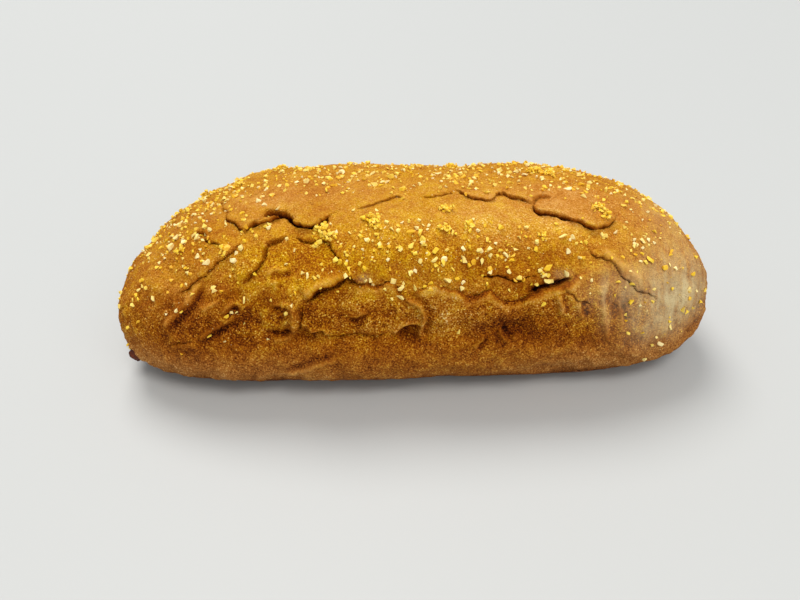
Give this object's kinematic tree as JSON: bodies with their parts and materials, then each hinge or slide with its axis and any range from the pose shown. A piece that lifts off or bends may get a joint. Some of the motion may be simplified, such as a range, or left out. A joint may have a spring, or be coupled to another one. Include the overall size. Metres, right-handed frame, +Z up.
{
  "type": "dark wheat bread",
  "caption": "Long rounded loaf of dark wheat bread with a creased and cracked brown crust, strewn with cracked maize grits, resting on a flat underside.",
  "frame": {"origin": "under the middle of the loaf, on the plane of its flat underside", "axes": "+X along the loaf to the right, +Y from the front to the back, +Z up"},
  "size_m": [0.2609, 0.1184, 0.0763],
  "materials": {
    "crust": "baked brown crust, finely speckled with bran, rough, darker in the cracks and at the heel, paler where flour lies"
  },
  "bodies": {
    "root": {"loaf": "crust"}
  },
  "joints": []
}
